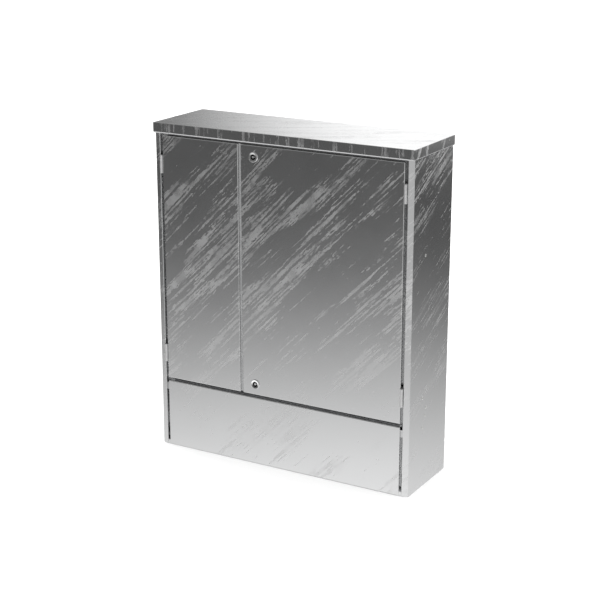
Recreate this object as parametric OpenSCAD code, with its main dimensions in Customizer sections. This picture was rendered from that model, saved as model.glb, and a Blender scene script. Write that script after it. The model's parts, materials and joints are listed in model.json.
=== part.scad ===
// Roadside utility cabinet for low-voltage cable distribution.
// Folded zinc-coated sheet steel: side panels, roof cap, back, two lift-off doors and a
// plinth plate, with busbars, fuse rails and cable clamps inside.
// Origin: centre of the footprint on the ground. +Z up, the doors face -Y.

/* [Casing] */
// Width over the side panels
body_w = 779; // [700:1:900]
// Height from the ground to the underside of the roof
body_h = 901; // [860:1:1100]
// Depth from the face of the doors to the back
body_d = 234; // [215:1:300]
// Thickness of the casing sheet
sheet_t = 1.5; // [1.2:0.1:2]
// Outer radius of the folds in the casing
fold_r = 2.4; // [2.2:0.1:3]
// Height of the roof cap
roof_h = 29; // [24:1:40]
// How far the roof stands out in front of the doors
roof_front = 3.5; // [3:0.5:12]
// How far the roof stands out behind the back
roof_back = 4.5; // [3:0.5:12]
// How far the roof stands out past each side
roof_side = 1; // [1:0.5:8]

/* [Front] */
// Height of the plinth plate
plate_h = 195; // [180:1:240]
// Slit between the plinth plate and the doors
plate_slit = 8; // [6:1:12]
// Slit between the doors and the roof
roof_slit = 5; // [4:1:10]
// Width of the bevelled front flange of each side panel
flange_w = 18; // [14:1:30]
// How far the bevel takes the outer edge of that flange back
flange_set = 6; // [4:0.5:10]
// Slit beside the doors, where the hinges are
hinge_slit = 7; // [6.5:0.5:10]
// Width of the narrow left door
narrow_w = 241; // [200:1:300]
// Slit between the two doors
door_slit = 8; // [6:1:12]
// Depth of the doors' folded edges
door_d = 18; // [16:1:20]
// Distance of each lock from the free edge of the wide door
lock_in = 39.5; // [34:0.5:60]
// Distance of each lock from the top or bottom edge of the wide door
lock_end = 31; // [30:1:32]

/* [Hinges] */
// Height of one hinge
hinge_h = 50; // [40:1:70]
// Distance of the upper hinges from the top edge of the doors
upper_hinge_end = 54; // [40:1:120]
// Distance of the lower hinges from the bottom edge of the doors
lower_hinge_end = 49; // [40:1:120]
// Diameter of the hinge pins
hinge_pin_d = 5; // [4:0.5:5]

/* [Base] */
// Diameter of the holes for the ground stand
base_hole_d = 12; // [9:0.5:14]
// Distance of those holes from the outside of the side panels
base_hole_in = 22; // [18:1:28]
// Distance between those holes, front to back
base_hole_y = 160; // [150:1:168]

/* [Equipment] */
// Distance between the middles of neighbouring fuse rails
fuse_pitch = 100; // [95:5:115]
// Width of one fuse rail
fuse_rail_w = 50; // [40:1:56]
// Distance between the middles of neighbouring busbars
busbar_pitch = 100; // [90:1:110]
// Height of one busbar
busbar_h = 30; // [20:1:40]
// Thickness of one busbar
busbar_t = 5; // [4:1:8]
// Outer diameter of the cables that the clamps hold
cable_d = 34; // [24:1:46]

/* [Hidden] */
$fn = 48;

// How far a cut runs past the sheet it cuts
eps = 1;
// Straight pieces in one fold
fold_steps = 6;
// Radial clearance of a shank in its hole
hole_fit = 0.05;

// The casing, measured from the face of the doors, which is y = 0 inside front_frame()
half_w = body_w / 2;
zinc = "LightSlateGray";

// Front flange: its inner face, which turns in beside the doors
inner_w = body_w - 2 * sheet_t;
flange_x = half_w - flange_w;
stop_w = 16;
rail_y = door_d + 0.5;
flange_return = rail_y + sheet_t;
rear_flange = 20;
top_flange = 28;
bottom_flange = 42;

// Doors
door_x = flange_x - hinge_slit;
door_z = plate_h + plate_slit;
door_h = body_h - roof_slit - door_z;
door_lip = 14;
narrow_x = -door_x;
wide_x = narrow_x + narrow_w + door_slit;
wide_w = door_x - wide_x;
strip_y = 9;
strip_gap = 1.5;
upper_hinge_z = door_z + door_h - upper_hinge_end - hinge_h;
lower_hinge_z = door_z + lower_hinge_end;

// Hinge axis, in front of the middle of the slit, so that the knuckles clear both edges
hinge_x = flange_x - hinge_slit / 2;
hinge_y = -1.2;
knuckle_r = 4.2;
leaf_t = 2;
leaf_d = 11;

// Where the doors' face stands, so that the whole part is centred front to back
front_reach = max(roof_front, knuckle_r - hinge_y);
face_y = -(body_d + roof_back - front_reach) / 2;

// Rails that the locks catch behind
top_rail_h = 21;
top_rail_d = 42;
cross_rail_z = plate_h - 10;
cross_rail_h = 28;
cross_rail_d = 30;

// Locks
lock_x = wide_x + lock_in;
upper_lock_z = door_z + door_h - lock_end;
lower_lock_z = door_z + lock_end;
lock_body_r = 10;
lock_head_r = 13.5;
lock_head_t = 2.5;
lock_bore_r = 7.5;
spindle_r = 5;
shoulder_y = 8;
collar_t = 2;
cam_y = rail_y + sheet_t + 0.5;
cam_t = 3;
cam_l = 30;
cam_w = 16;
cam_square = 7;
nut_t = 5;
nut_af = 25;

// Slide bolt of the narrow door
bolt_w = 12;
bolt_l = 82;
bolt_t = 3;
bolt_x = narrow_x + narrow_w - 16;
bolt_top_z = body_h - sheet_t - top_rail_h - 7;

// Plinth plate
plate_d = 15;
ear_z = 165;
ear_h = 20;
ear_y = 6.5;
ear_hook = 8;
ear_reach = 7;

// Base
base_rail_h = 36;
base_rail_d = 46;
base_hole_x = body_w - 2 * base_hole_in;
hole_mid_y = -face_y;

// Uprights and rails for the equipment
upright_t = 2;
upright_y = 62;
upright_d = 50;
upright_w = 25;
upright_z = [40, body_h - 60];
rail_d = 15;
rail_w = 2 * (half_w - sheet_t - upright_t - 1);
mount_y = upright_y + upright_d;
upper_rail_z = 745;
lower_rail_z = 290;
clamp_rail_z = 190;
upper_rail_h = 40;
lower_rail_h = 60;
clamp_rail_h = 40;

// Busbars, supports, fuse rails
support_w = 30;
support_d = 30;
support_x = 250;
busbar_y = mount_y - support_d - busbar_t;
busbar_mid_z = 560;
busbar_l = 560;
fuse_rails = 3;
fuse_rail_h = 390;
fuse_rail_d = 30;
fuse_rail_y = busbar_y - fuse_rail_d;
fuse_shift = -60;
link_w = 30;
link_h = 50;
pen_l = 560;
bar_bolt_r = 4;

// Rivets of each side panel: [distance behind the doors' face, height]
side_rivet_at = [[80, 643], [82, 253], [103, 221], [99, 200], [85, 170]];
rivet_r = 2;

// ---------- helpers ----------

function unit(v) = v / norm(v);

// Arc of radius r that rounds the corner b between a and c
function corner(a, b, c, r) =
    r <= 0 ? [b] :
    let (u = unit(a - b))
    let (v = unit(c - b))
    let (half = acos(u * v) / 2)
    let (mid = b + unit(u + v) * r / sin(half))
    let (from = b + u * r / tan(half) - mid)
    let (to = b + v * r / tan(half) - mid)
    let (start = atan2(from[1], from[0]))
    let (turn = (atan2(to[1], to[0]) - start + 540) % 360 - 180)
    [for (i = [0:fold_steps]) let (t = start + turn * i / fold_steps) mid + r * [cos(t), sin(t)]];

// Closed outline with each corner rounded to its own radius
function rounded(points, radii) =
    let (n = len(points))
    [for (i = [0:n - 1]) each corner(points[(i + n - 1) % n], points[i], points[(i + 1) % n], radii[i])];

// Everything in front_frame() is measured from the face of the doors
module front_frame() {
    translate([0, face_y, 0]) children();
}

// Both sides at once
module both_sides() {
    for (side = [0, 1]) mirror([side, 0, 0]) children();
}

// Extrudes an outline drawn in Y and Z along X, centred
module along_x(length) {
    translate([-length / 2, 0, 0]) rotate([90, 0, 90]) linear_extrude(length) children();
}

// Rectangle with rounded corners, front pair first: [front radius, back radius]
module fold_section(w, d, radii) {
    polygon(rounded([[0, 0], [w, 0], [w, d], [0, d]], [radii[0], radii[0], radii[1], radii[1]]));
}

// Tray folded from one sheet: face on y = 0, edges turned back by d, lips turned in
module tray(w, h, d, lip, back_r) {
    difference() {
        intersection() {
            linear_extrude(h) fold_section(w, d, [fold_r, back_r]);
            rotate([90, 0, 90]) linear_extrude(w)
                polygon(rounded([[0, 0], [d, 0], [d, h], [0, h]], [fold_r, back_r, back_r, fold_r]));
        }
        translate([sheet_t, sheet_t, sheet_t]) cube([w - 2 * sheet_t, d - 2 * sheet_t, h - 2 * sheet_t]);
        translate([lip, d / 2, lip]) cube([w - 2 * lip, d, h - 2 * lip]);
    }
}

// Round bar along Y from y0 to y1
module rod_y(r, y0, y1) {
    translate([0, y1, 0]) rotate([90, 0, 0]) cylinder(r = r, h = y1 - y0);
}

// Round bar along X from x0 to x1
module rod_x(r, x0, x1) {
    translate([x0, 0, 0]) rotate([0, 90, 0]) cylinder(r = r, h = x1 - x0);
}

// ---------- casing ----------

roof_w = body_w + 2 * roof_side;
roof_d = body_d + roof_front + roof_back;
roof_lip = 16;
roof_side_lip = 30;
roof_edge_r = 1;
roof_fold_r = 4;

// Section of the roof cap, w wide, moved in by inset: tight edge on top, wide fold at the bottom
module roof_section(w, inset) {
    fold = roof_fold_r - inset;
    edge = max(0, roof_edge_r - inset);
    right = w - inset;
    top = roof_h - inset;
    corners = [[inset, inset], [right, inset], [right, top], [inset, top]];
    polygon(rounded(corners, [fold, fold, edge, edge]));
}

// Closed box of the roof cap, moved in by inset on every side
module roof_block(inset) {
    intersection() {
        translate([0, -roof_front, body_h]) along_x(roof_w) roof_section(roof_d, inset);
        translate([-roof_w / 2, roof_d, body_h]) rotate([90, 0, 0])
            linear_extrude(2 * roof_d) roof_section(roof_w, inset);
    }
}

// One folded cap: flat top, skirt all round, lip turned in under the skirt
module roof_cap() {
    color(zinc) front_frame() difference() {
        roof_block(0);
        roof_block(sheet_t);
        translate([-roof_w / 2 + roof_side_lip, roof_lip - roof_front, body_h - eps])
            cube([roof_w - 2 * roof_side_lip, roof_d - 2 * roof_lip, roof_h / 2]);
        roof_screw_places() cylinder(r = roof_screw_r + hole_fit, h = roof_h, center = true);
    }
}

// Side panel outline seen from above, moved in by inset: bevelled front flange, side, rear edge
function side_outline(inset) =
    let (k = flange_set / flange_w)
    let (slope = sqrt(1 + k * k)) [
        [flange_x + inset, flange_return],
        [flange_x + inset, inset * (slope + k)],
        [half_w - inset, flange_set + inset * (slope - k)],
        [half_w - inset, body_d - sheet_t - inset],
        [half_w - rear_flange, body_d - sheet_t - inset]
    ];

// Side, front flange with its return and the stop strip behind the doors, rear, top and bottom flanges
module side_panel() {
    inner_r = fold_r - sheet_t;
    difference() {
        union() {
            difference() {
                linear_extrude(body_h) polygon(rounded(side_outline(0), [0, fold_r, fold_r, fold_r, 0]));
                translate([0, 0, sheet_t]) linear_extrude(body_h - 2 * sheet_t)
                    polygon(concat(rounded(side_outline(sheet_t), [0, inner_r, inner_r, inner_r, 0]),
                        [[0, body_d - 2 * sheet_t], [0, flange_return]]));
            }
            translate([flange_x - stop_w, rail_y, 0]) cube([stop_w + sheet_t, sheet_t, body_h]);
            translate([half_w - top_flange, flange_set + fold_r, body_h - sheet_t])
                cube([top_flange - sheet_t, body_d - flange_set - 2 * fold_r - sheet_t, sheet_t]);
            translate([half_w - bottom_flange, flange_return, 0])
                cube([bottom_flange - sheet_t, body_d - flange_return - fold_r - sheet_t, sheet_t]);
        }
        // slot that the plinth plate's ear hooks into
        translate([flange_x - eps, ear_y - 0.5, ear_z - ear_hook - 2])
            cube([sheet_t + 2 * eps, sheet_t + 1, ear_h + 2 * ear_hook + 2]);
        side_rivet_places() rod_x(rivet_r + hole_fit, half_w - 2 * sheet_t, half_w + eps);
        roof_screw_places() cylinder(r = roof_screw_r + hole_fit, h = 4 * sheet_t, center = true);
        base_hole_places() cylinder(d = base_hole_d, h = 4 * sheet_t, center = true);
        back_rivet_places() rod_y(rivet_r + hole_fit, -3 * sheet_t, eps);
    }
}

module right_side_panel() {
    color(zinc) front_frame() side_panel();
}

module left_side_panel() {
    color(zinc) front_frame() mirror([1, 0, 0]) side_panel();
}

// Flat back, its top and bottom edges turned forward between the side panels' flanges
back_gap = 1;
back_fold = 13;
module back_panel() {
    back_w = body_w - 2 * back_gap;
    top_w = 2 * (half_w - top_flange - back_gap);
    bottom_w = 2 * (half_w - bottom_flange - back_gap);
    color(zinc) front_frame() difference() {
        union() {
            translate([-back_w / 2, body_d - sheet_t, back_gap])
                cube([back_w, sheet_t, body_h - 2 * back_gap]);
            translate([-top_w / 2, body_d - back_fold, body_h - back_gap - sheet_t])
                cube([top_w, back_fold, sheet_t]);
            translate([-bottom_w / 2, body_d - back_fold, back_gap]) cube([bottom_w, back_fold, sheet_t]);
        }
        both_sides() back_rivet_places() rod_y(rivet_r + hole_fit, -3 * sheet_t, 2 * sheet_t);
    }
}

// Flat rail under the front of the roof, between the side panels
module top_front_rail() {
    color(zinc) front_frame() difference() {
        translate([-inner_w / 2, rail_y, body_h - 2 * sheet_t])
            cube([inner_w, top_rail_d, sheet_t]);
        roof_screw_places() cylinder(r = roof_screw_r + hole_fit, h = 8 * sheet_t, center = true);
        rail_end_notches();
    }
}

// Strip welded under its front edge: the upper lock and the slide bolt catch behind it
module top_catch_strip() {
    strip_w = 2 * (flange_x - stop_w);
    strip_h = top_rail_h - sheet_t;
    color(zinc) front_frame()
        translate([-strip_w / 2, rail_y, body_h - 2 * sheet_t - strip_h])
            cube([strip_w, sheet_t, strip_h]);
}

// Folded channel behind the slit between doors and plate: the lower lock catches behind it
module lower_cross_rail() {
    color(zinc) front_frame() difference() {
        translate([0, rail_y, cross_rail_z]) along_x(inner_w) polygon([
            [0, cross_rail_h], [0, 0], [cross_rail_d, 0], [cross_rail_d, cross_rail_h / 2],
            [cross_rail_d - sheet_t, cross_rail_h / 2], [cross_rail_d - sheet_t, sheet_t],
            [sheet_t, sheet_t], [sheet_t, cross_rail_h]
        ]);
        rail_end_notches();
    }
}

// Makes room at both ends of a front rail for the stop strips of the side panels
module rail_end_notches() {
    both_sides() translate([flange_x - stop_w, rail_y - eps, 0])
        cube([stop_w + flange_w, sheet_t + eps, body_h]);
}

// Folded angle that ties the side panels' bottom flanges together
module base_rail() {
    along_x(inner_w) polygon([
        [0, 0], [base_rail_d, 0], [base_rail_d, sheet_t], [sheet_t, sheet_t],
        [sheet_t, base_rail_h], [0, base_rail_h]
    ]);
}

module front_base_rail() {
    color(zinc) front_frame() difference() {
        translate([0, flange_return, sheet_t]) base_rail();
        both_sides() base_hole_places() cylinder(d = base_hole_d, h = 8 * sheet_t, center = true);
    }
}

module rear_base_rail() {
    color(zinc) front_frame() difference() {
        translate([0, 2 * hole_mid_y - flange_return, sheet_t]) mirror([0, 1, 0]) base_rail();
        both_sides() base_hole_places() cylinder(d = base_hole_d, h = 8 * sheet_t, center = true);
    }
}

// ---------- places of holes, right-hand side; both_sides() adds the left ----------

module base_hole_places() {
    for (side = [-1, 1]) translate([base_hole_x / 2, hole_mid_y + side * base_hole_y / 2, 0]) children();
}

roof_screw_r = 3;
roof_screw_in = 20;
roof_screw_y = [rail_y + top_rail_d / 2, body_d - 40];
module roof_screw_places() {
    for (y = roof_screw_y, side = [0, 1])
        mirror([side, 0, 0]) translate([half_w - roof_screw_in, y, body_h]) children();
}

module back_rivet_places() {
    rivets = 5;
    end = 80;
    pitch = (body_h - 2 * end) / (rivets - 1);
    for (i = [0:rivets - 1])
        translate([half_w - rear_flange / 2, body_d - sheet_t, end + i * pitch]) children();
}

module side_rivet_places() {
    for (at = side_rivet_at) translate([0, at[0], at[1]]) children();
}

// ---------- fasteners of the casing ----------

// Hexagon screws put in from below into the roof's lip; the front pair also holds the top rail
module roof_screws() {
    head_h = 4;
    head_af = 10;
    tip_l = 8;
    color("Silver") front_frame() for (front = [0, 1]) {
        grip = sheet_t * (1 + front);
        both_sides() translate([half_w - roof_screw_in, roof_screw_y[1 - front], body_h]) {
            translate([0, 0, -grip - head_h]) cylinder(d = head_af / cos(30), h = head_h, $fn = 6);
            translate([0, 0, -grip]) cylinder(r = roof_screw_r, h = grip + tip_l);
        }
    }
}

// Blind rivet along Z: flat head on top of the origin, clinched bulb below the sheets
module rivet(grip) {
    head_r = 4;
    head_t = 0.8;
    bulb_r = 3;
    bulb_t = 3;
    rotate_extrude() polygon([
        [0, head_t], [head_r - 1.5, head_t], [head_r, 0], [rivet_r, 0], [rivet_r, -grip],
        [bulb_r, -grip], [bulb_r, -grip - bulb_t + 1], [bulb_r - 1, -grip - bulb_t], [0, -grip - bulb_t]
    ]);
}

module back_rivets() {
    color("Silver") front_frame() both_sides()
        back_rivet_places() translate([0, sheet_t, 0]) rotate([-90, 0, 0]) rivet(2 * sheet_t);
}

module side_rivets() {
    color("Silver") front_frame() both_sides() side_rivet_places()
        translate([half_w, 0, 0]) rotate([0, 90, 0]) rivet(sheet_t + upright_t);
}

// ---------- doors and plinth plate ----------

// Tray door with a strip folded out behind the slit on its free edge
module narrow_door() {
    color(zinc) front_frame() {
        translate([narrow_x, 0, door_z]) tray(narrow_w, door_h, door_d, door_lip, 1);
        translate([narrow_x + narrow_w - sheet_t, strip_y, door_z + 1])
            cube([door_slit - strip_gap + sheet_t, sheet_t, door_h - 2]);
    }
}

// Tray door with a hole for each lock
module wide_door() {
    color(zinc) front_frame() difference() {
        translate([wide_x, 0, door_z]) tray(wide_w, door_h, door_d, door_lip, 1);
        for (z = [upper_lock_z, lower_lock_z])
            translate([lock_x, 0, z]) rod_y(lock_body_r + hole_fit, -eps, 2 * sheet_t);
    }
}

// Tray with a foot in the bottom of each slit and an ear each side that hooks behind the front flange
module plinth_plate() {
    foot_h = 12;
    foot_gap = 0.3;
    color(zinc) front_frame() {
        translate([-door_x, 0, 0]) tray(2 * door_x, plate_h, plate_d, sheet_t, 0);
        both_sides() translate([door_x - sheet_t, fold_r, 0])
            cube([hinge_slit + sheet_t - foot_gap, sheet_t, foot_h]);
        both_sides() translate([door_x - sheet_t, ear_y, ear_z]) {
            cube([hinge_slit + 2 * sheet_t + ear_reach, sheet_t, ear_h]);
            translate([hinge_slit + 2.5 * sheet_t, 0, -ear_hook])
                cube([ear_reach - sheet_t / 2, sheet_t, ear_h]);
        }
    }
}

// ---------- lift-off hinges, right-hand side ----------

// Fixed leaf: lower knuckle on a plate against the front flange's return
module frame_leaf() {
    difference() {
        union() {
            cylinder(r = knuckle_r, h = hinge_h / 2);
            translate([hinge_slit / 2 - leaf_t, 0, 0]) cube([leaf_t, leaf_d - hinge_y, hinge_h / 2]);
            cube([hinge_slit / 2 - leaf_t, knuckle_r, hinge_h / 2]);
        }
        translate([0, 0, -eps]) cylinder(d = hinge_pin_d + 2 * hole_fit, h = hinge_h);
    }
}

// Moving leaf: upper knuckle on a plate against the door's folded edge
module door_leaf() {
    translate([0, 0, hinge_h / 2]) difference() {
        union() {
            cylinder(r = knuckle_r, h = hinge_h / 2);
            translate([-hinge_slit / 2, 0, 0]) cube([leaf_t, leaf_d - hinge_y, hinge_h / 2]);
            translate([-hinge_slit / 2 + leaf_t, 0, 0])
                cube([hinge_slit / 2 - leaf_t, knuckle_r, hinge_h / 2]);
        }
        translate([0, 0, -eps]) cylinder(d = hinge_pin_d + 2 * hole_fit, h = hinge_h);
    }
}

module hinge_pin() {
    translate([0, 0, 1]) cylinder(d = hinge_pin_d, h = hinge_h - 3);
}

// Puts a right-hand hinge piece on one side (-1 left, 1 right) at height z
module at_hinge(side, z) {
    front_frame() mirror([side < 0 ? 1 : 0, 0, 0]) translate([hinge_x, hinge_y, z]) children();
}

module frame_leaf_left_upper() { color("Silver") at_hinge(-1, upper_hinge_z) frame_leaf(); }
module frame_leaf_left_lower() { color("Silver") at_hinge(-1, lower_hinge_z) frame_leaf(); }
module frame_leaf_right_upper() { color("Silver") at_hinge(1, upper_hinge_z) frame_leaf(); }
module frame_leaf_right_lower() { color("Silver") at_hinge(1, lower_hinge_z) frame_leaf(); }
module hinge_pin_left_upper() { color("Gray") at_hinge(-1, upper_hinge_z) hinge_pin(); }
module hinge_pin_left_lower() { color("Gray") at_hinge(-1, lower_hinge_z) hinge_pin(); }
module hinge_pin_right_upper() { color("Gray") at_hinge(1, upper_hinge_z) hinge_pin(); }
module hinge_pin_right_lower() { color("Gray") at_hinge(1, lower_hinge_z) hinge_pin(); }
module door_leaf_left_upper() { color("Silver") at_hinge(-1, upper_hinge_z) door_leaf(); }
module door_leaf_left_lower() { color("Silver") at_hinge(-1, lower_hinge_z) door_leaf(); }
module door_leaf_right_upper() { color("Silver") at_hinge(1, upper_hinge_z) door_leaf(); }
module door_leaf_right_lower() { color("Silver") at_hinge(1, lower_hinge_z) door_leaf(); }

// ---------- quarter-turn locks ----------

// Places a lock piece, its axis along Y, on the wide door at height z
module at_lock(z) {
    front_frame() translate([lock_x, 0, z]) children();
}

// Ring head in front of the door, body through it, bore stepped for the spindle
module lock_housing() {
    head_edge = 1;
    rotate([-90, 0, 0]) rotate_extrude() polygon([
        [lock_bore_r, -lock_head_t], [lock_head_r - head_edge, -lock_head_t],
        [lock_head_r, -lock_head_t + head_edge], [lock_head_r, 0], [lock_body_r, 0],
        [lock_body_r, cam_y - 1], [spindle_r + hole_fit, cam_y - 1], [spindle_r + hole_fit, shoulder_y],
        [lock_bore_r, shoulder_y]
    ]);
}

// Driver pin with two bits in front, collar, journal, and a square end for the cam
module lock_spindle() {
    pin_r = 2.8;
    bit_w = 9.5;
    bit_t = 2;
    collar_y = shoulder_y - collar_t;
    difference() {
        union() {
            rod_y(pin_r, -1, collar_y + 0.5);
            translate([-bit_w / 2, 1.5, -bit_t / 2]) cube([bit_w, collar_y - 1, bit_t]);
            rod_y(lock_bore_r - 0.1, collar_y, shoulder_y);
            rod_y(spindle_r, collar_y, cam_y - 1);
            translate([-cam_square / 2, cam_y - 1 - eps, -cam_square / 2])
                cube([cam_square, cam_t + 1 + eps, cam_square]);
        }
        rod_y(cam_screw_r + hole_fit, cam_y - 8, cam_y + cam_t + eps);
    }
}

// Flat cam on the spindle's square, pointing to the hinge side when unlocked
module lock_cam() {
    difference() {
        union() {
            rod_y(cam_w / 2, cam_y, cam_y + cam_t);
            translate([0, cam_y, -cam_w / 2]) cube([cam_l, cam_t, cam_w]);
        }
        translate([-cam_square / 2 - hole_fit, cam_y - eps, -cam_square / 2 - hole_fit])
            cube([cam_square + 2 * hole_fit, cam_t + 2 * eps, cam_square + 2 * hole_fit]);
    }
}

cam_screw_r = 2;
module cam_screw() {
    head_r = 5.5;
    rod_y(cam_screw_r, cam_y - 6, cam_y + cam_t + 0.5);
    rod_y(head_r, cam_y + cam_t, cam_y + cam_t + 3);
}

module lock_nuts() {
    color("Silver") for (z = [upper_lock_z, lower_lock_z]) at_lock(z) difference() {
        translate([0, sheet_t + nut_t, 0]) rotate([90, 0, 0])
            cylinder(d = nut_af / cos(30), h = nut_t, $fn = 6);
        rod_y(lock_body_r + hole_fit, 0, nut_t + 3 * sheet_t);
    }
}

module lock_housing_upper() { color("Silver") at_lock(upper_lock_z) lock_housing(); }
module lock_housing_lower() { color("Silver") at_lock(lower_lock_z) lock_housing(); }
module lock_spindle_upper() { color("Gray") at_lock(upper_lock_z) lock_spindle(); }
module lock_spindle_lower() { color("Gray") at_lock(lower_lock_z) lock_spindle(); }
module lock_cam_upper() { color("Silver") at_lock(upper_lock_z) lock_cam(); }
module lock_cam_lower() { color("Silver") at_lock(lower_lock_z) lock_cam(); }
module cam_screw_upper() { color("Gray") at_lock(upper_lock_z) cam_screw(); }
module cam_screw_lower() { color("Gray") at_lock(lower_lock_z) cam_screw(); }

// ---------- slide bolt that holds the narrow door ----------

bolt_fit = 0.3;
guide_h = 34;
guide_wall = 3;
guide_z = bolt_top_z - 12 - guide_h;

// Block on the narrow door's inner lip with a slot for the bolt
module bolt_guide() {
    guide_w = bolt_w + 2 * guide_wall;
    color("Silver") front_frame() difference() {
        translate([bolt_x - guide_w / 2, door_d, guide_z])
            cube([guide_w, cam_y - door_d + bolt_t + bolt_fit + guide_wall, guide_h]);
        translate([bolt_x - bolt_w / 2 - bolt_fit, cam_y - bolt_fit, guide_z - eps])
            cube([bolt_w + 2 * bolt_fit, bolt_t + 2 * bolt_fit, guide_h + 2 * eps]);
    }
}

// Flat bolt with a finger knob: up behind the top rail to hold the door
module slide_bolt() {
    knob_r = 5;
    knob_l = 12;
    bottom_z = bolt_top_z - bolt_l;
    color("Gray") front_frame() {
        translate([bolt_x - bolt_w / 2, cam_y, bottom_z]) cube([bolt_w, bolt_t, bolt_l]);
        translate([bolt_x, 0, bottom_z + knob_r + 1]) rod_y(knob_r, cam_y + bolt_t - 0.5, cam_y + knob_l);
    }
}

// ---------- equipment ----------

// Middle of each fuse rail, and of the cable clamp below it
function fuse_x(i) = fuse_shift + (i - (fuse_rails - 1) / 2) * fuse_pitch;

rail_heights = [
    [upper_rail_z, upper_rail_h], [lower_rail_z, lower_rail_h], [clamp_rail_z, clamp_rail_h]
];
rail_screw_r = 3;
rail_screw_in = 10;

module rail_screw_places() {
    for (rail = rail_heights)
        translate([half_w - sheet_t - upright_w + rail_screw_in, mount_y, rail[0] + rail[1] / 2]) children();
}

// Folded channel riveted to a side panel; its rear flange carries the rails
module upright() {
    x0 = half_w - sheet_t - upright_w;
    x1 = half_w - sheet_t;
    outer = [[x0, upright_y], [x1, upright_y], [x1, mount_y], [x0, mount_y]];
    inner = [
        [x0, mount_y - upright_t], [x1 - upright_t, mount_y - upright_t],
        [x1 - upright_t, upright_y + upright_t], [x0, upright_y + upright_t]
    ];
    difference() {
        translate([0, 0, upright_z[0]]) linear_extrude(upright_z[1] - upright_z[0])
            polygon(concat(rounded(outer, [0, fold_r, fold_r, 0]), inner));
        side_rivet_places() rod_x(rivet_r + hole_fit, x1 - 2 * upright_t, x1 + eps);
        rail_screw_places() rod_y(rail_screw_r + hole_fit, -2 * upright_t, eps);
    }
}

module right_upright() {
    color("DarkGray") front_frame() upright();
}

module left_upright() {
    color("DarkGray") front_frame() mirror([1, 0, 0]) upright();
}

// Channel rail across the uprights, web to the front
module mounting_rail(z, h) {
    color("DarkGray") front_frame() difference() {
        translate([0, mount_y, z]) along_x(rail_w) polygon([
            [0, 0], [rail_d, 0], [rail_d, upright_t], [upright_t, upright_t],
            [upright_t, h - upright_t], [rail_d, h - upright_t], [rail_d, h], [0, h]
        ]);
        both_sides() rail_screw_places() rod_y(rail_screw_r + hole_fit, -eps, 2 * upright_t);
        bolt_holes();
    }
}

module upper_mounting_rail() { mounting_rail(upper_rail_z, upper_rail_h); }
module lower_mounting_rail() { mounting_rail(lower_rail_z, lower_rail_h); }
module cable_clamp_rail() { mounting_rail(clamp_rail_z, clamp_rail_h); }

// Corner radius of a hexagon head or nut, over the radius of its shank
hex_ratio = 1.9;

// Hexagon bolt along Y: head in front of y = 0, shank back to y = shank
module bolt(r, shank) {
    head_h = 1.3 * r;
    rotate([90, 0, 0]) cylinder(r = hex_ratio * r, h = head_h, $fn = 6);
    rod_y(r, 0, shank);
}

module rail_screws() {
    nut_h = 5;
    color("Silver") front_frame() both_sides() rail_screw_places() {
        translate([0, -upright_t, 0]) bolt(rail_screw_r, 2 * upright_t + nut_h + 2);
        translate([0, upright_t + nut_h, 0]) rotate([90, 0, 0])
            cylinder(r = hex_ratio * rail_screw_r, h = nut_h, $fn = 6);
    }
}

// Busbar heights, top phase first
busbar_zs = [for (i = [1, 0, -1]) busbar_mid_z + i * busbar_pitch];
support_zs = [lower_rail_z + lower_rail_h - 12, upper_rail_z + upper_rail_h / 2];
support_foot_d = 18;
pen_h = 30;
pen_z = lower_rail_z + 4;
pen_bolts = 6;
pen_bolt_pitch = 90;
clamp_foot = 18;
clamp_wall = 3;
clamp_h = 26;
clamp_bolt_r = 3;
clamp_bolt_x = cable_d / 2 + clamp_wall + clamp_foot / 2;
clamp_mid_z = clamp_rail_z + clamp_rail_h / 2;

// Every bolt of the bars, supports and clamps, as [x, y of the head's seat, z, radius]
bolts = concat(
    [for (side = [-1, 1], z = busbar_zs) [side * support_x, busbar_y, z, bar_bolt_r]],
    [for (side = [-1, 1], z = support_zs) [side * support_x, mount_y - support_foot_d, z, bar_bolt_r]],
    [for (i = [0:pen_bolts - 1])
        [(i - (pen_bolts - 1) / 2) * pen_bolt_pitch, mount_y - busbar_t, pen_z + pen_h / 2, bar_bolt_r]],
    [for (i = [0:2], side = [-1, 1])
        [fuse_x(i) + side * clamp_bolt_x, mount_y - clamp_wall, clamp_mid_z, clamp_bolt_r]]
);

// How deep behind mount_y each bolt reaches
bolt_end = 8;

module bolt_holes() {
    for (b = bolts) translate([b[0], b[1], b[2]])
        rod_y(b[3] + hole_fit, -eps, mount_y - b[1] + bolt_end + eps);
}

module bar_bolts() {
    color("Silver") front_frame() for (b = bolts)
        translate([b[0], b[1], b[2]]) bolt(b[3], mount_y - b[1] + (b[1] == busbar_y ? -8 : bolt_end));
}

// Moulded insulator: foot on the mounting rails, a raised pad under each busbar
module busbar_support(side) {
    z0 = lower_rail_z + lower_rail_h - 24;
    z1 = upper_rail_z + upper_rail_h;
    pad_h = busbar_h + 16;
    color("FireBrick") front_frame() difference() {
        union() {
            translate([side * support_x - support_w / 2, mount_y - support_foot_d, z0])
                cube([support_w, support_foot_d, z1 - z0]);
            for (z = busbar_zs)
                translate([side * support_x - support_w / 2, mount_y - support_d, z - pad_h / 2])
                    cube([support_w, support_d, pad_h]);
        }
        bolt_holes();
    }
}

module busbar_support_left() { busbar_support(-1); }
module busbar_support_right() { busbar_support(1); }

module busbar(i) {
    color("Peru") front_frame() difference() {
        translate([-busbar_l / 2, busbar_y, busbar_zs[i] - busbar_h / 2])
            cube([busbar_l, busbar_t, busbar_h]);
        bolt_holes();
    }
}

module busbar_1() { busbar(0); }
module busbar_2() { busbar(1); }
module busbar_3() { busbar(2); }

// Combined earth and neutral bar, bolted straight to the lower rail
module pen_bar() {
    color("Peru") front_frame() difference() {
        translate([-pen_l / 2, mount_y - busbar_t, pen_z]) cube([pen_l, busbar_t, pen_h]);
        bolt_holes();
    }
}

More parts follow.
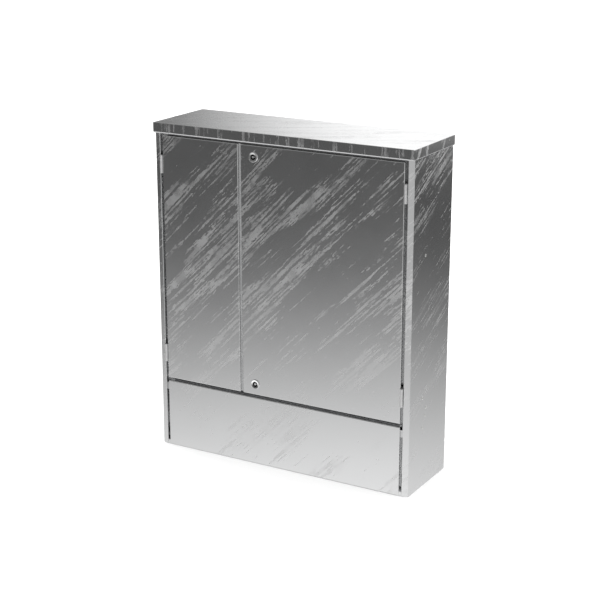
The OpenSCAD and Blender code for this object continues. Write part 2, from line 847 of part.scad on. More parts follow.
link_depth = 14;
link_fit = 0.5;

// Moulded strip in front of the busbars with a pocket for a fuse link at each phase
module fuse_rail(i) {
    shroud_h = 70;
    color("DimGray") front_frame() translate([fuse_x(i), fuse_rail_y, busbar_mid_z]) difference() {
        union() {
            translate([-fuse_rail_w / 2, 0, -fuse_rail_h / 2]) cube([fuse_rail_w, fuse_rail_d, fuse_rail_h]);
            // cover over the cable terminals
            translate([-fuse_rail_w / 2, -6, -fuse_rail_h / 2]) cube([fuse_rail_w, 7, shroud_h]);
        }
        for (phase = [-1, 0, 1]) translate([0, 0, phase * busbar_pitch])
            translate([-link_w / 2 - link_fit, -eps, -link_h / 2 - link_fit])
                cube([link_w + 2 * link_fit, link_depth + eps, link_h + 2 * link_fit]);
        // cable entry from below
        translate([0, fuse_rail_d / 2, -fuse_rail_h / 2 - eps]) cylinder(r = 9, h = shroud_h / 2);
    }
}

module fuse_rail_1() { fuse_rail(0); }
module fuse_rail_2() { fuse_rail(1); }
module fuse_rail_3() { fuse_rail(2); }

// Three ceramic fuse links with metal end plates and gripping lugs
module fuse_links(i) {
    lug_w = 20;
    lug_t = 3;
    proud = 10;
    color("Ivory") front_frame() for (phase = [-1, 0, 1])
        translate([fuse_x(i), fuse_rail_y, busbar_mid_z + phase * busbar_pitch]) {
            translate([-link_w / 2, -proud, -link_h / 2]) cube([link_w, proud + link_depth, link_h]);
            for (end = [-1, 1])
                translate([-lug_w / 2, -proud - lug_t, end * (link_h / 2 - lug_t) - lug_t / 2])
                    cube([lug_w, lug_t + 1, lug_t]);
        }
}

module fuse_links_1() { fuse_links(0); }
module fuse_links_2() { fuse_links(1); }
module fuse_links_3() { fuse_links(2); }

// Saddle that clamps one cable against the rail
module cable_clamp(i) {
    r = cable_d / 2;
    width = 2 * (r + clamp_wall + clamp_foot);
    color("Silver") front_frame() difference() {
        translate([fuse_x(i), mount_y, clamp_mid_z - clamp_h / 2]) difference() {
            union() {
                translate([0, -r, 0]) cylinder(r = r + clamp_wall, h = clamp_h);
                translate([-r - clamp_wall, -r, 0]) cube([2 * (r + clamp_wall), r, clamp_h]);
                translate([-width / 2, -clamp_wall, 0]) cube([width, clamp_wall, clamp_h]);
            }
            translate([0, -r, -eps]) cylinder(r = r, h = clamp_h + 2 * eps);
            translate([-r, -r, -eps]) cube([2 * r, r + 2 * clamp_wall, clamp_h + 2 * eps]);
        }
        bolt_holes();
    }
}

module cable_clamp_1() { cable_clamp(0); }
module cable_clamp_2() { cable_clamp(1); }
module cable_clamp_3() { cable_clamp(2); }

roof_cap();
left_side_panel();
right_side_panel();
back_panel();
top_front_rail();
top_catch_strip();
lower_cross_rail();
front_base_rail();
rear_base_rail();
roof_screws();
back_rivets();
side_rivets();
narrow_door();
wide_door();
plinth_plate();
frame_leaf_left_upper();
frame_leaf_left_lower();
frame_leaf_right_upper();
frame_leaf_right_lower();
hinge_pin_left_upper();
hinge_pin_left_lower();
hinge_pin_right_upper();
hinge_pin_right_lower();
door_leaf_left_upper();
door_leaf_left_lower();
door_leaf_right_upper();
door_leaf_right_lower();
lock_housing_upper();
lock_housing_lower();
lock_nuts();
lock_spindle_upper();
lock_spindle_lower();
lock_cam_upper();
lock_cam_lower();
cam_screw_upper();
cam_screw_lower();
bolt_guide();
slide_bolt();
left_upright();
right_upright();
upper_mounting_rail();
lower_mounting_rail();
cable_clamp_rail();
rail_screws();
busbar_support_left();
busbar_support_right();
busbar_1();
busbar_2();
busbar_3();
fuse_rail_1();
fuse_rail_2();
fuse_rail_3();
fuse_links_1();
fuse_links_2();
fuse_links_3();
pen_bar();
bar_bolts();
cable_clamp_1();
cable_clamp_2();
cable_clamp_3();
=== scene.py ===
# %% [markdown]
# # A roadside cable cabinet in bare zinc-coated steel
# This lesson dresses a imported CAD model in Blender. The model is the fixed frame: every panel, hinge and
# lock already has its true size and place. What is left is what Blender is good at: finishes that catch
# the light as rolled zinc does, small turned and moulded parts with soft edges, a floor, light and a
# camera. Everything is in metres.

# %% Load the fixed frame
import json
import math

import bpy
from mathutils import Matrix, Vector

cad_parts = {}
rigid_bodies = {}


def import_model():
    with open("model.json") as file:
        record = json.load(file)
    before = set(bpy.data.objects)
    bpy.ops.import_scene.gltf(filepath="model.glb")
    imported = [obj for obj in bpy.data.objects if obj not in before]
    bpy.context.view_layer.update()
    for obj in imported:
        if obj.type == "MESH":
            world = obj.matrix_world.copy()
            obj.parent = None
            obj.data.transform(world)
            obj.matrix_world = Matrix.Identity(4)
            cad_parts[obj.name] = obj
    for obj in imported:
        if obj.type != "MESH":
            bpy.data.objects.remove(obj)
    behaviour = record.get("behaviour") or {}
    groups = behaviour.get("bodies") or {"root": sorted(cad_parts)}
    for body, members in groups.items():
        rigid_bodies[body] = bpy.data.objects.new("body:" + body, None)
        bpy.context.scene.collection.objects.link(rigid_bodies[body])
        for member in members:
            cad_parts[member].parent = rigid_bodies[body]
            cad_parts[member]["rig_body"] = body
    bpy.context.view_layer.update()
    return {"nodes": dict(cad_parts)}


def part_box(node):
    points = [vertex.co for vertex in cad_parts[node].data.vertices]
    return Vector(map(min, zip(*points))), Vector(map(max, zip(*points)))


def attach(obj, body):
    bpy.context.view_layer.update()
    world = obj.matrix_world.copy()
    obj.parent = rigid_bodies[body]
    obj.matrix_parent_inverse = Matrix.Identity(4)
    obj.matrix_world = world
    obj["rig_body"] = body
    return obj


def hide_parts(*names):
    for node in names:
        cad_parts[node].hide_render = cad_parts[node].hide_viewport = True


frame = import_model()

nodes = frame["nodes"]

# %% [markdown]
# ## Small helpers for finishes
# A finish is a graph of shader nodes. It could be wired by hand in the Shader editor; in code, a few
# helpers keep each graph readable. `put` adds one node, fills its sockets and links whatever is given as
# a socket. The others are short names for the steps that every finish uses: mixing, arithmetic and
# noise.

# %% Helpers for shader nodes
def put(tree, kind, settings, sockets):
    made = tree.nodes.new("ShaderNode" + kind)
    for name, value in settings.items():
        setattr(made, name, value)
    for key, value in sockets.items():
        if isinstance(value, bpy.types.NodeSocket):
            tree.links.new(value, made.inputs[key])
        else:
            made.inputs[key].default_value = value
    return made


def calc(tree, operation, a, b=0.0, c=0.0):
    return put(tree, "Math", {"operation": operation}, {0: a, 1: b, 2: c}).outputs[0]


def mix_number(tree, share, a, b):
    return put(tree, "Mix", {"data_type": "FLOAT"}, {0: share, 2: a, 3: b}).outputs[0]


def mix_vector(tree, share, a, b):
    return put(tree, "Mix", {"data_type": "VECTOR"}, {0: share, 4: a, 5: b}).outputs[1]


def mix_colour(tree, share, a, b):
    return put(tree, "Mix", {"data_type": "RGBA"}, {0: share, 6: a, 7: b}).outputs[2]


def step(tree, value, low, high, start=0.0, end=1.0):
    sockets = {"Value": value, "From Min": low, "From Max": high, "To Min": start, "To Max": end}
    return put(tree, "MapRange", {"interpolation_type": "SMOOTHSTEP"}, sockets).outputs[0]


def noise(tree, vector, scale, detail=2.0, rough=0.5):
    sockets = {"Vector": vector, "Scale": scale, "Detail": detail, "Roughness": rough}
    return put(tree, "TexNoise", {}, sockets).outputs[0]


def stretch(tree, vector, x, y, z):
    return put(tree, "VectorMath", {"operation": "MULTIPLY"}, {0: vector, 1: (x, y, z)}).outputs[0]


def grey(value, tint=0.0):
    return (value - tint, value, value + tint, 1.0)


def start_finish(name, metallic, roughness):
    material = bpy.data.materials.new(name)
    material.use_nodes = True
    shader = material.node_tree.nodes["Principled BSDF"]
    shader.inputs["Metallic"].default_value = metallic
    shader.inputs["Roughness"].default_value = roughness
    return material, material.node_tree, shader


print("helpers ready")

# %% [markdown]
# ## One direction for each face of a sheet
# Rolled sheet is cut and folded, so the marks of the rolls run one way on the front, another on the
# sides and another on top. A pattern in plain object space would smear over the faces that lie along it.
# Instead the space is turned three times, once for each way a face can point, so that the marks always
# run along its first axis, and the face's own normal picks one of the three.

# %% Turn the space so that marks run along X
mostly = 0.72
side_shift = (0.35, 0, 0.15)


def along_marks(tree, front_deg, side_deg, top_deg):
    place = put(tree, "TexCoord", {}, {})
    point = place.outputs["Object"]

    def turned(x, y, z, shift=(0, 0, 0)):
        angles = (math.radians(x), math.radians(y), math.radians(z))
        sockets = {"Vector": point, "Rotation": angles, "Location": shift}
        return put(tree, "Mapping", {}, sockets).outputs[0]

    facing = put(tree, "VectorMath", {"operation": "ABSOLUTE"}, {0: place.outputs["Normal"]})
    parts = put(tree, "SeparateXYZ", {}, {0: facing.outputs[0]})
    sideways = calc(tree, "GREATER_THAN", parts.outputs[0], mostly)
    upwards = calc(tree, "GREATER_THAN", parts.outputs[2], mostly)
    side_way = turned(-side_deg, 0, -90, side_shift)
    chosen = mix_vector(tree, sideways, turned(0, front_deg, 0), side_way)
    return mix_vector(tree, upwards, chosen, turned(0, 0, -top_deg))


print("direction helper ready")

# %% [markdown]
# ## Zinc-coated sheet
# The sheet is smooth zinc with bands of short, ragged, rougher flecks lying in long lines. The flecks
# are hardly another colour: they are rougher, so they spread the light and look pale where the smooth
# zinc mirrors something dark, and dull where it mirrors something bright. So the mask below drives
# mostly roughness, and colour only a little. The mask is made of three noises of one stretched space:
# wide bands, thin lines inside them, and crumbs that break the lines up. A slow wave and a fine grain in
# the bump stop the big panels from looking like perfect mirrors.

# %% Zinc sheet
bands_per_metre, lines_per_metre = 2.6, 6.0
crumb_scale, grain_scale = (70.0, 260.0, 260.0), (300.0, 900.0, 900.0)
strength_scale, cloud_scale, wave_scale = 24.0, 9.0, 5.0
crowding, threshold, raggedness = 0.21, -0.69, 0.5
zinc_dark, zinc_pale, fleck_grey = grey(0.68, 0.003), grey(0.72, 0.003), grey(0.78, 0.002)
smoothest, smooth, fleck_rough = 0.12, 0.16, 0.31
wave_bump = {"Strength": 0.2, "Distance": 0.0008}
grain_bump = {"Strength": 0.03, "Distance": 0.0001}


def zinc_sheet_finish(name, front_deg, side_deg, top_deg, band_size, line_size):
    material, tree, shader = start_finish(name, 1.0, 0.15)
    marks = along_marks(tree, front_deg, side_deg, top_deg)
    band_space = stretch(tree, marks, bands_per_metre, 1 / band_size, 1 / band_size)
    bands = noise(tree, band_space, 1.0, 2.0, 0.5)
    line_space = stretch(tree, marks, lines_per_metre, 1 / line_size, 1 / line_size)
    lines = noise(tree, line_space, 1.0, 1.5, 0.5)
    crumbs = noise(tree, stretch(tree, marks, *crumb_scale), 1.0, 2.0, 0.6)
    # Lines are let through more easily where a band is dense, and the crumbs fray their edges
    dense = step(tree, bands, 0.44, 0.6)
    crowd = calc(tree, "MULTIPLY_ADD", dense, crowding, threshold)
    ragged = calc(tree, "MULTIPLY", calc(tree, "SUBTRACT", crumbs, 0.5), raggedness)
    total = calc(tree, "ADD", calc(tree, "ADD", lines, crowd), ragged)
    strength = step(tree, noise(tree, marks, strength_scale, 2.0, 0.6), 0.3, 0.7, 0.5, 1.0)
    flecks = calc(tree, "MULTIPLY", step(tree, total, -0.02, 0.05), strength)
    # The same mask drives colour a little and roughness a lot
    cloud = noise(tree, marks, cloud_scale, 3.0, 0.5)
    plain = mix_colour(tree, cloud, zinc_dark, zinc_pale)
    colour = mix_colour(tree, flecks, plain, fleck_grey)
    tree.links.new(colour, shader.inputs["Base Color"])
    roughness = mix_number(tree, flecks, mix_number(tree, cloud, smoothest, smooth), fleck_rough)
    tree.links.new(roughness, shader.inputs["Roughness"])
    wave = noise(tree, marks, wave_scale, 1.0, 0.4)
    grain = noise(tree, stretch(tree, marks, *grain_scale), 1.0, 2.0, 0.5)
    deep = put(tree, "Bump", {}, {**wave_bump, "Height": wave})
    fine = put(tree, "Bump", {}, {**grain_bump, "Height": grain, "Normal": deep.outputs[0]})
    tree.links.new(fine.outputs[0], shader.inputs["Normal"])
    return material


zinc = zinc_sheet_finish("zinc", 45, 27, 32, 0.075, 0.0065)
roof_zinc = zinc_sheet_finish("zinc_roof", 90, 62, 32, 0.03, 0.008)
print("sheet finishes:", zinc.name, roof_zinc.name)

# %% [markdown]
# ## Finishes of the small parts
# The hidden frame is duller zinc, its colour painted darker as painted shade for the slits it is seen
# through; the hinges are pale and matt, screws and bolts are bright plated steel, the locks are chrome
# with a satin core, the bars are drawn copper, and the fuse gear is moulded plastic and ceramic. One
# recipe fits the metals: a stretched noise for the way it was drawn or turned, and a cloud for handling.
# Plastics and ceramic get a fine grain in the bump and a little uneven gloss.
# The bores of the locks get painted shade: their metal colour turns dark with depth behind the door's
# face, where little light reaches.

# %% Metal and moulded finishes
metal_cloud, metal_split = 45.0, (0.36, 0.64)
moulded_cloud, moulded_split = 25.0, (0.3, 0.7)
metal_relief, moulded_relief = 0.0002, 0.0003


def metal_finish(name, dark, pale, smooth, rough, space, depth):
    material, tree, shader = start_finish(name, 1.0, smooth)
    point = put(tree, "TexCoord", {}, {}).outputs["Object"]
    drawn = noise(tree, stretch(tree, point, *space), 1.0, 3.0, 0.6)
    cloud = noise(tree, point, metal_cloud, 3.0, 0.55)
    both = calc(tree, "MULTIPLY", calc(tree, "ADD", drawn, cloud), 0.5)
    share = step(tree, both, *metal_split)
    tree.links.new(mix_colour(tree, share, dark, pale), shader.inputs["Base Color"])
    tree.links.new(mix_number(tree, share, smooth, rough), shader.inputs["Roughness"])
    sockets = {"Strength": depth, "Distance": metal_relief, "Height": drawn}
    bump = put(tree, "Bump", {}, sockets)
    tree.links.new(bump.outputs[0], shader.inputs["Normal"])
    return material


def moulded_finish(name, dark, pale, smooth, rough, grain_size, depth):
    material, tree, shader = start_finish(name, 0.0, rough)
    point = put(tree, "TexCoord", {}, {}).outputs["Object"]
    grain = noise(tree, point, 1 / grain_size, 2.0, 0.5)
    cloud = noise(tree, point, moulded_cloud, 3.0, 0.55)
    share = step(tree, cloud, *moulded_split)
    tree.links.new(mix_colour(tree, share, dark, pale), shader.inputs["Base Color"])
    tree.links.new(mix_number(tree, grain, smooth, rough), shader.inputs["Roughness"])
    sockets = {"Strength": depth, "Distance": moulded_relief, "Height": grain}
    bump = put(tree, "Bump", {}, sockets)
    tree.links.new(bump.outputs[0], shader.inputs["Normal"])
    return material


plate_dark, plate_pale = (0.78, 0.79, 0.77, 1), (0.9, 0.9, 0.88, 1)
copper_dark, copper_pale = (0.66, 0.3, 0.19, 1), (0.86, 0.48, 0.34, 1)
brown_dark, brown_pale = (0.2, 0.03, 0.02, 1), (0.3, 0.055, 0.035, 1)
black_dark, black_pale = (0.018, 0.018, 0.02, 1), (0.035, 0.035, 0.037, 1)
cream_dark, cream_pale = (0.6, 0.58, 0.52, 1), (0.72, 0.7, 0.64, 1)

# The frame's colour is painted dark: painted shade for the slits between doors, plate and sides. Its higher
# roughness is real.
frame_zinc_painted_shade = metal_finish("zinc_frame_painted_shade", grey(0.3), grey(0.44, 0.01), 0.32, 0.48, (60, 60, 8), 0.15)
hinge_plate = metal_finish("hinge_plate", grey(0.78), grey(0.9), 0.45, 0.58, (90, 90, 500), 0.1)
pin_ground = metal_finish("pin_ground", grey(0.5), grey(0.64), 0.18, 0.3, (60, 60, 900), 0.1)
chrome = metal_finish("chrome", grey(0.82), grey(0.9), 0.06, 0.12, (300, 40, 300), 0.02)
lock_satin = metal_finish("lock_satin", grey(0.7), grey(0.85), 0.3, 0.45, (500, 60, 500), 0.1)
plated = metal_finish("plated", plate_dark, plate_pale, 0.16, 0.3, (200, 200, 200), 0.1)
copper = metal_finish("copper", copper_dark, copper_pale, 0.2, 0.38, (6, 400, 400), 0.15)
insulator = moulded_finish("insulator", brown_dark, brown_pale, 0.3, 0.5, 0.0012, 0.3)
housing = moulded_finish("housing", black_dark, black_pale, 0.35, 0.55, 0.0009, 0.4)
ceramic = moulded_finish("ceramic", cream_dark, cream_pale, 0.4, 0.6, 0.0007, 0.3)


# Painted shade: the base colour turns dark with depth behind the door's face, inside the lock bores.
def paint_bore_shade(material, start_y, end_y, dark):
    tree = material.node_tree
    colour = tree.nodes["Principled BSDF"].inputs["Base Color"]
    unshaded_colour = colour.links[0].from_socket
    point = put(tree, "TexCoord", {}, {}).outputs["Object"]
    depth = put(tree, "SeparateXYZ", {}, {0: point}).outputs[1]
    tree.links.new(mix_colour(tree, step(tree, depth, start_y, end_y), unshaded_colour, dark), colour)


door_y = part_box("wide_door")[0][1]
# Painted shade deep in the lock bores, on the chrome and on the satin core.
paint_bore_shade(chrome, door_y - 0.001, door_y + 0.003, grey(0.06))
paint_bore_shade(lock_satin, door_y + 0.0005, door_y + 0.004, grey(0.03))
print("finishes:", [m.name for m in bpy.data.materials if m.users == 0])

# %% [markdown]
# ## Put the finishes on the CAD nodes
# Each node comes with one plain material, named after its slot in the record. The plain one is swapped
# for the finish of that slot. The node's mesh and place stay as they are. The roof cap is rolled the
# other way, so it has its own copy of the zinc.

# %% Swap the plain materials
finish_of = {
    "zinc_sheet": zinc,
    "frame_sheet": frame_zinc_painted_shade,
    "hinge_steel": hinge_plate,
    "pin_steel": pin_ground,
    "lock_chrome": chrome,
    "lock_core": lock_satin,
    "plated_steel": plated,
    "fasteners": plated,
    "copper_bar": copper,
    "insulator": insulator,
    "fuse_housing": housing,
    "fuse_ceramic": ceramic,
}
slot_of = {name: node.material_slots[0].material.name.split(".")[0] for name, node in nodes.items()}
for name, node in nodes.items():
    for place in node.material_slots:
        place.material = finish_of[slot_of[name]]
nodes["roof_cap"].material_slots[0].material = roof_zinc
print("dressed:", len(nodes))

# %% [markdown]
# ## Helpers for shaping
# A CAD model has sharp edges, and a sharp edge catches no light. Small parts that stand in sight are
# shaped again here, as by hand: a primitive is added, its faces or edges are selected by their place,
# and inset, extrude and bevel do the rest. `pick_faces` and `pick_edges` go into edit mode with just the
# wanted elements selected. `joined` makes one object of several. `hand_over` cleans a finished piece,
# gives it the finish of the CAD node that it stands for, and lets it ride on that node's body.

# %% Selecting and handing over
weld_gap = 0.000001
sharp_angle = math.radians(35)
same_way = 0.9
hair, sliver = 0.00001, 0.0001


def only(piece):
    if bpy.context.mode != "OBJECT":
        bpy.ops.object.mode_set(mode="OBJECT")
    bpy.ops.object.select_all(action="DESELECT")
    piece.select_set(True)
    bpy.context.view_layer.objects.active = piece


def begin_picking(piece, kind):
    only(piece)
    bpy.ops.object.mode_set(mode="EDIT")
    bpy.ops.mesh.select_mode(type=kind)
    bpy.ops.mesh.select_all(action="DESELECT")
    bpy.ops.object.mode_set(mode="OBJECT")


def pick_faces(piece, wanted):
    begin_picking(piece, "FACE")
    for face in piece.data.polygons:
        face.select = wanted(face)
    bpy.ops.object.mode_set(mode="EDIT")


def pick_edges(piece, wanted):
    begin_picking(piece, "EDGE")
    points = piece.data.vertices
    for edge in piece.data.edges:
        a, b = [points[i].co for i in edge.vertices]
        edge.select = wanted(a, b)
    bpy.ops.object.mode_set(mode="EDIT")


def push(vector):
    bpy.ops.mesh.extrude_region_move(TRANSFORM_OT_translate={"value": vector})


def joined(parts):
    bpy.ops.object.select_all(action="DESELECT")
    for part in parts:
        part.select_set(True)
    bpy.context.view_layer.objects.active = parts[0]
    bpy.ops.object.transform_apply(location=True, rotation=True, scale=True)
    bpy.ops.object.join()
    return bpy.context.object


def hand_over(piece, name, *stood_for):
    only(piece)
    bpy.ops.object.mode_set(mode="EDIT")
    bpy.ops.mesh.select_all(action="SELECT")
    bpy.ops.mesh.remove_doubles(threshold=weld_gap)
    bpy.ops.mesh.normals_make_consistent(inside=False)
    bpy.ops.object.mode_set(mode="OBJECT")
    bpy.ops.object.transform_apply(location=True, rotation=True, scale=True)
    bpy.ops.object.shade_smooth_by_angle(angle=sharp_angle)
    first = nodes[stood_for[0]]
    piece.name = name
    piece.data.name = name
    piece.data.materials.clear()
    piece.data.materials.append(first.material_slots[0].material)
    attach(piece, first["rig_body"])
    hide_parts(*stood_for)
    return piece


print("shaping helpers ready")

# %% [markdown]
# ## Soft edges on milled, stamped and moulded parts
# Stamped and moulded parts have a small radius on every edge. The CAD mesh of such a part is copied, its
# loose triangles are merged and its flat areas dissolved, so that a Bevel modifier finds real edges to
# round. The angle limit keeps it off the facets of round walls. A Weighted Normal modifier then lets the
# large faces rule the shading, so that they look flat. Both are applied, because the piece is then
# final. The width is small: 0.4 mm on stamped steel, a little more on nuts, bars and moulded rails.

# %% Round the edges of a copy
flat_angle = math.radians(2)
round_steps = 2


def soften(node, width):
    mesh = nodes[node].data.copy()
    piece = bpy.data.objects.new(node + "_soft", mesh)
    bpy.context.scene.collection.objects.link(piece)
    only(piece)
    bpy.ops.object.mode_set(mode="EDIT")
    bpy.ops.mesh.select_all(action="SELECT")
    bpy.ops.mesh.remove_doubles(threshold=weld_gap)
    bpy.ops.mesh.dissolve_limited(angle_limit=flat_angle)
    bpy.ops.object.mode_set(mode="OBJECT")
    bevel = piece.modifiers.new("round", "BEVEL")
    bevel.width = width
    bevel.segments = round_steps
    bevel.limit_method = "ANGLE"
    bevel.angle_limit = sharp_angle
    bpy.ops.object.modifier_apply(modifier=bevel.name)
    hand_over(piece, node + "_soft", node)
    flatten = piece.modifiers.new("flatten", "WEIGHTED_NORMAL")
    flatten.keep_sharp = True
    flatten.weight = 100
    bpy.ops.object.modifier_apply(modifier=flatten.name)
    return piece


rounding_of = {
    "frame_leaf_": 0.0004,
    "door_leaf_": 0.0004,
    "lock_nuts": 0.0005,
    "lock_cam_": 0.0004,
    "bolt_guide": 0.0004,
    "slide_bolt": 0.0004,
    "bar_bolts": 0.0004,
    "rail_screws": 0.0004,
    "roof_screws": 0.0004,
    "busbar_": 0.0006,
    "pen_bar": 0.0006,
    "fuse_rail_": 0.0012,
    "cable_clamp_1": 0.0004,
    "cable_clamp_2": 0.0004,
    "cable_clamp_3": 0.0004,
}
softened = 0
for name in nodes:
    for start, width in rounding_of.items():
        if name.startswith(start):
            soften(name, width)
            softened += 1
print("pieces with soft edges:", softened)

# %% [markdown]
# ## The turned housing of a lock
# The head in front of the door is a polished ring that slopes in to a deep bore. The barrel behind it is
# threaded for the nut. It starts as a short cylinder. Inset and extrude on the front face give the rim,
# the slope and the bore; inset and extrude on the back face give the barrel, one thread ridge at a time.
# At the far end both meet, and the two end faces are removed and bridged into one wall.

# %% Lock housings
bore_r, core_r, barrel_r = 0.0075, 0.00505, 0.01
bore_depth = 0.008
rim_w, rim_drop, slope_w = 0.0016, 0.0009, 0.0042
thread_pitch, thread_depth = 0.001, 0.00035
head_round, head_steps, turned_sides = 0.001, 5, 64


def lock_housing(node, name):
    low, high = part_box(node)
    head_r = (high[0] - low[0]) / 2
    centre = Vector(((low[0] + high[0]) / 2, 0, (low[2] + high[2]) / 2))
    end_y = high[1]
    middle = (centre.x, (low[1] + door_y) / 2, centre.z)
    quarter = (math.radians(90), 0, 0)
    bpy.ops.object.select_all(action="DESELECT")
    bpy.ops.mesh.primitive_cylinder_add(
        vertices=turned_sides, radius=head_r, depth=door_y - low[1], location=middle, rotation=quarter)
    piece = bpy.context.object
    bpy.ops.object.transform_apply(location=True, rotation=True, scale=True)

    def from_axis(point):
        return math.hypot(point.x - centre.x, point.z - centre.z)

    def squeeze(share):
        bpy.ops.transform.resize(value=(share, 1, share), center_override=centre)

    # Back face: the barrel grows backwards, ridge by ridge
    pick_faces(piece, lambda face: face.normal.y > same_way)
    bpy.ops.mesh.inset(thickness=head_r - barrel_r)
    threads = int((end_y - door_y) / thread_pitch) - 1
    rest = end_y - door_y - threads * thread_pitch
    for _ in range(threads):
        push((0, thread_pitch / 2, 0))
        squeeze(1 - thread_depth / barrel_r)
        push((0, thread_pitch / 2, 0))
        squeeze(1 / (1 - thread_depth / barrel_r))
    push((0, rest, 0))
    # Front face: rim, slope, bore and shoulder
    pick_faces(piece, lambda face: face.normal.y < -same_way and abs(face.center.y - low[1]) < sliver)
    bpy.ops.mesh.inset(thickness=rim_w)
    bpy.ops.mesh.inset(thickness=slope_w)
    bpy.ops.transform.translate(value=(0, rim_drop, 0))
    bpy.ops.mesh.inset(thickness=head_r - rim_w - slope_w - bore_r)
    push((0, door_y + bore_depth - low[1] - rim_drop, 0))
    bpy.ops.mesh.inset(thickness=bore_r - core_r)
    push((0, end_y - door_y - bore_depth, 0))
    # Far end: open both faces and bridge their rims
    pick_faces(piece, lambda face: abs(face.center.y - end_y) < hair and abs(face.normal.y) > same_way)
    bpy.ops.mesh.delete(type="FACE")
    pick_edges(piece, lambda a, b: max(abs(a.y - end_y), abs(b.y - end_y)) < hair)
    bpy.ops.mesh.bridge_edge_loops()
    # Round the outer edge of the head
    pick_edges(piece, lambda a, b: min(from_axis(a), from_axis(b)) > head_r - sliver
               and max(a.y, b.y) < door_y - sliver)
    bpy.ops.mesh.bevel(offset=head_round, segments=head_steps, affect="EDGES")
    bpy.ops.object.mode_set(mode="OBJECT")
    return hand_over(piece, name, node)


for level_name in ("upper", "lower"):
    housing_piece = lock_housing("lock_housing_" + level_name, "lock_ring_" + level_name)
    print(housing_piece.name, "faces:", len(housing_piece.data.polygons))

# %% [markdown]
# ## Blind rivets
# A blind rivet has a low domed head with the mandrel's hole in its middle, and a clinched bulb behind
# the sheets. One is modelled along Z, with the underside of its head at the origin. Where each goes is
# read from the CAD node: its mesh falls apart into one closed solid for each rivet, and the box of each
# solid gives the place. The boxes are found by linking the corners of each face, until every closed
# solid is one group of linked corners. Every copy gets its own mesh, is turned and moved, and then all
# are joined.

# %% Rivets
head_h, rivet_sides = 0.0008, 28
rivet_r, shank_r, bulb_l = 0.004, 0.002, 0.003
neck_in, neck_l, swell = 0.0001, 0.0002, 1.5
bulb_ends, tip_l, shrink = 0.0012, 0.0008, 0.7
hole_share, hole_deep = 0.68, 0.0005
dome_w, dome_steps, dome_from_r = 0.0006, 4, 0.003


def solids_of(node):
    mesh = nodes[node].data
    link = {}

    def top(point):
        while link[point] != point:
            link[point] = link[link[point]]
            point = link[point]
        return point

    for face in mesh.polygons:
        corners = [tuple(round(c, 6) for c in mesh.vertices[i].co) for i in face.vertices]
        for corner in corners:
            link.setdefault(corner, corner)
        for corner in corners[1:]:
            link[top(corner)] = top(corners[0])
    groups = {}
    for point in link:
        groups.setdefault(top(point), []).append(point)
    boxes = []
    for points in groups.values():
        boxes.append((tuple(map(min, zip(*points))), tuple(map(max, zip(*points)))))
    return sorted(boxes)


def blind_rivet(grip):
    bpy.ops.object.select_all(action="DESELECT")
    bpy.ops.mesh.primitive_cylinder_add(
        vertices=rivet_sides, radius=rivet_r, depth=head_h, location=(0, 0, head_h / 2))
    rivet = bpy.context.object
    bpy.ops.object.transform_apply(location=True, rotation=True, scale=True)
    pick_faces(rivet, lambda face: face.normal.z < -same_way)
    bpy.ops.mesh.inset(thickness=rivet_r - shank_r)
    push((0, 0, -grip))
    bpy.ops.mesh.inset(thickness=neck_in)
    push((0, 0, -neck_l))
    bpy.ops.transform.resize(value=(swell, swell, 1), center_override=(0, 0, 0))
    push((0, 0, bulb_ends - bulb_l))
    push((0, 0, -tip_l))
    bpy.ops.transform.resize(value=(shrink, shrink, 1), center_override=(0, 0, 0))
    pick_faces(rivet, lambda face: face.normal.z > same_way)
    bpy.ops.mesh.inset(thickness=rivet_r * hole_share)
    push((0, 0, -hole_deep))
    pick_edges(rivet, lambda a, b: min(a.z, b.z) > head_h - hair
               and min(math.hypot(a.x, a.y), math.hypot(b.x, b.y)) > dome_from_r)
    bpy.ops.mesh.bevel(offset=dome_w, segments=dome_steps, affect="EDGES")
    bpy.ops.object.mode_set(mode="OBJECT")
    return rivet


def rivet_row(node, name, axis):
    boxes = solids_of(node)
    low, high = boxes[0]
    length = high[axis] - low[axis]
    model = blind_rivet(length - head_h - bulb_l)
    placed = []
    for low, high in boxes:
        twin = bpy.data.objects.new(name, model.data.copy())
        bpy.context.scene.collection.objects.link(twin)
        spot = [(a + b) / 2 for a, b in zip(low, high)]
        outwards = 1 if spot[axis] > 0 else -1
        spot[axis] = high[axis] - head_h if outwards > 0 else low[axis] + head_h
        twin.location = spot
        if axis == 0:
            twin.rotation_euler = (0, math.radians(90 * outwards), 0)
        else:
            twin.rotation_euler = (math.radians(-90 * outwards), 0, 0)
        placed.append(twin)
    bpy.data.objects.remove(model)
    row = hand_over(joined(placed), name, node)
    print(name, "rivets:", len(boxes), "faces:", len(row.data.polygons))


rivet_row("side_rivets", "side_rivet_heads", 0)
rivet_row("back_rivets", "back_rivet_heads", 1)

# %% [markdown]
# ## Ceramic fuse links
# A fuse link is a glazed ceramic block with rounded edges, a shallow panel pressed into its front, and a
# metal gripping lug at each end. The block starts as a cube of the right size. All its edges get a wide
# bevel, the panel is inset and pushed in, and then every edge gets a small bevel. The lugs are small plates
# with rounded edges. Both stand for the same CAD node, in two finishes.

# %% Fuse links
lug_t, lug_w, lug_sunk = 0.003, 0.02, 0.001
lug_inset, lug_round, lug_steps = 0.001, 0.0006, 2
corner_w, corner_steps, edge_w, edge_steps = 0.004, 4, 0.0008, 3
panel_in, panel_slope, panel_deep = 0.005, 0.0006, 0.0007


def cube_between(low, high):
    bpy.ops.object.select_all(action="DESELECT")
    middle = [(a + b) / 2 for a, b in zip(low, high)]
    bpy.ops.mesh.primitive_cube_add(size=1, location=middle)
    block = bpy.context.object
    block.scale = [b - a for a, b in zip(low, high)]
    bpy.ops.object.transform_apply(location=True, rotation=True, scale=True)
    return block


def round_edges(block, offset, steps):
    begin_picking(block, "EDGE")
    bpy.ops.object.mode_set(mode="EDIT")
    bpy.ops.mesh.select_all(action="SELECT")
    bpy.ops.mesh.bevel(offset=offset, segments=steps, affect="EDGES")
    bpy.ops.object.mode_set(mode="OBJECT")


